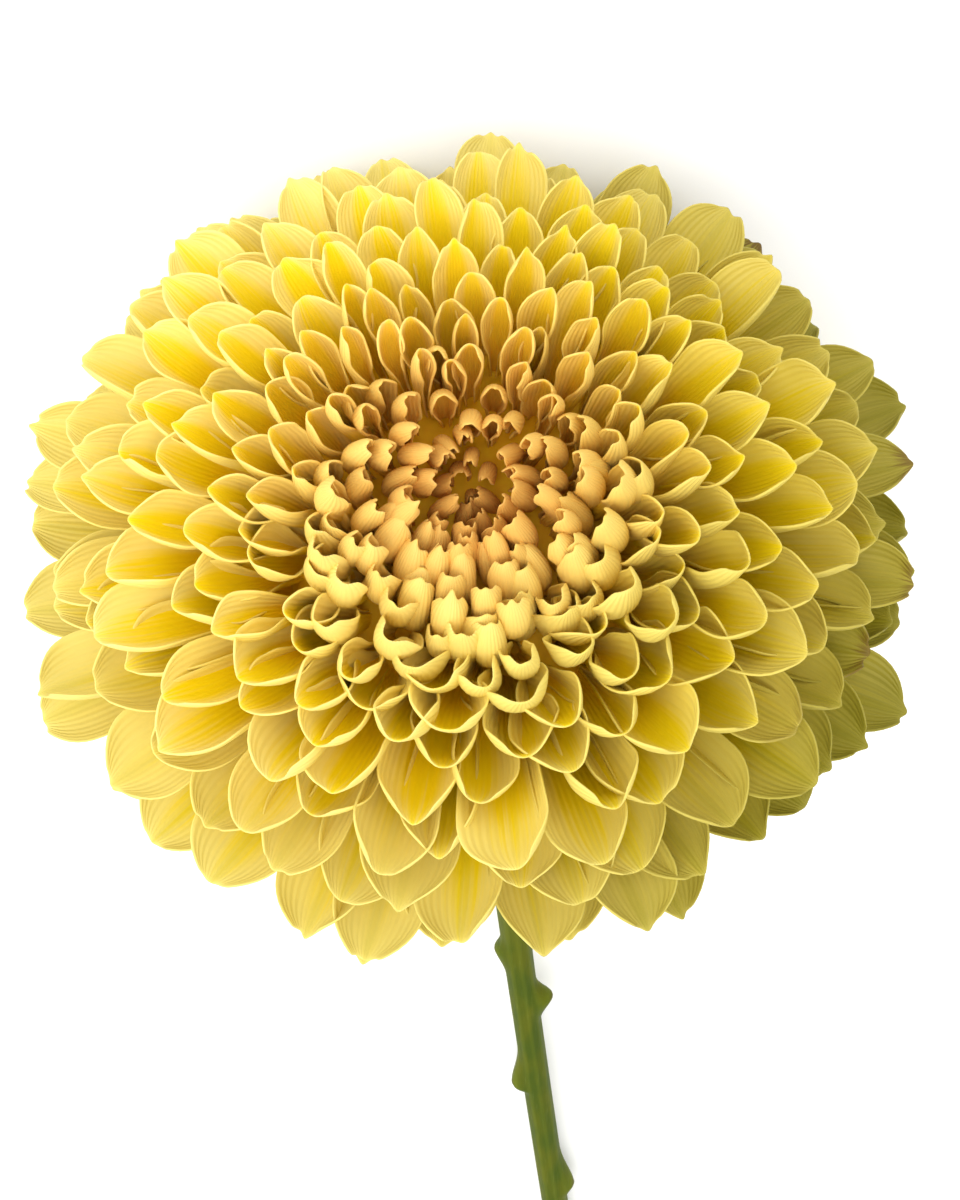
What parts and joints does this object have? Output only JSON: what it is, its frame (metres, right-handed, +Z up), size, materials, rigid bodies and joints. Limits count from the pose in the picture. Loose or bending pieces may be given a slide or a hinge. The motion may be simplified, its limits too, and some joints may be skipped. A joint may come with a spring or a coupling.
{
  "type": "pompon chrysanthemum",
  "caption": "Cut chrysanthemum lying down: a full yellow double head of layered petals round a dimple, a green bract cup and a bent green stem with stubs.",
  "frame": {"origin": "on the surface that the flower lies on, below the middle of its bounding box", "axes": "+Z up, +Y from the head towards the cut end of the stem, +X across the head"},
  "size_m": [0.1122, 0.1994, 0.0789],
  "materials": {
    "petals": "soft satin petals, golden inside, cream yellow at the rims and on the backs, peach in the middle",
    "bracts": "matte green leafy scales with thin pale edges",
    "stem": "satin olive green stalk with fine ribs and a bluish bloom"
  },
  "bodies": {
    "root": {"bloom": "petals", "involucre": "bracts", "stem": "stem"}
  },
  "joints": []
}
